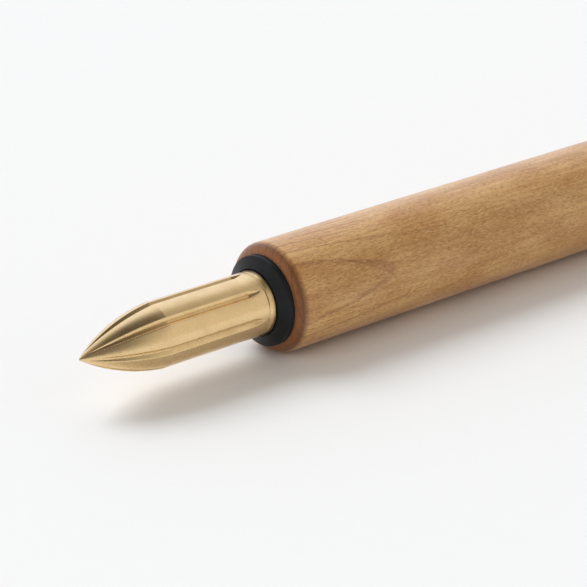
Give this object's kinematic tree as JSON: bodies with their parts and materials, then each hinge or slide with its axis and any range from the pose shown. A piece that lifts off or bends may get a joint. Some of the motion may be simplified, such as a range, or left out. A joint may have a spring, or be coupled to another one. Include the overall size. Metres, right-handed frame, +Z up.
{
  "type": "dip pen",
  "caption": "Dip pen: fluted brass point on a split tang that pulls out of a sprung resin collet, in a plain round wooden barrel with a black cone collar.",
  "frame": {"origin": "on the surface that the pen lies on, under the middle of its length", "axes": "+X along the pen from the tip to the rear end, +Z up, +Y to the left seen from the rear"},
  "size_m": [0.15, 0.012, 0.012],
  "materials": {
    "brass": "satin, finely turned and brushed",
    "black_resin": "satin moulded resin",
    "spring_steel": "bright drawn wire",
    "wood": "turned fruitwood, fine grain, satin oiled"
  },
  "bodies": {
    "holder": {"barrel": "wood", "collar": "black_resin"},
    "socket": {"collet": "black_resin", "spring_ring": "spring_steel", "core": "black_resin"},
    "nib": {"nib_point": "brass", "nib_tang": "brass"}
  },
  "joints": [
    {"name": "socket_turn", "type": "hinge", "parent": "holder", "child": "socket", "pos_m": [-0.05245, 0, 0.006], "axis": [1, 0, 0], "continuous": true},
    {"name": "nib_pull", "type": "slide", "parent": "socket", "child": "nib", "axis": [-1, 0, 0], "range_m": [0, 0.014]}
  ]
}
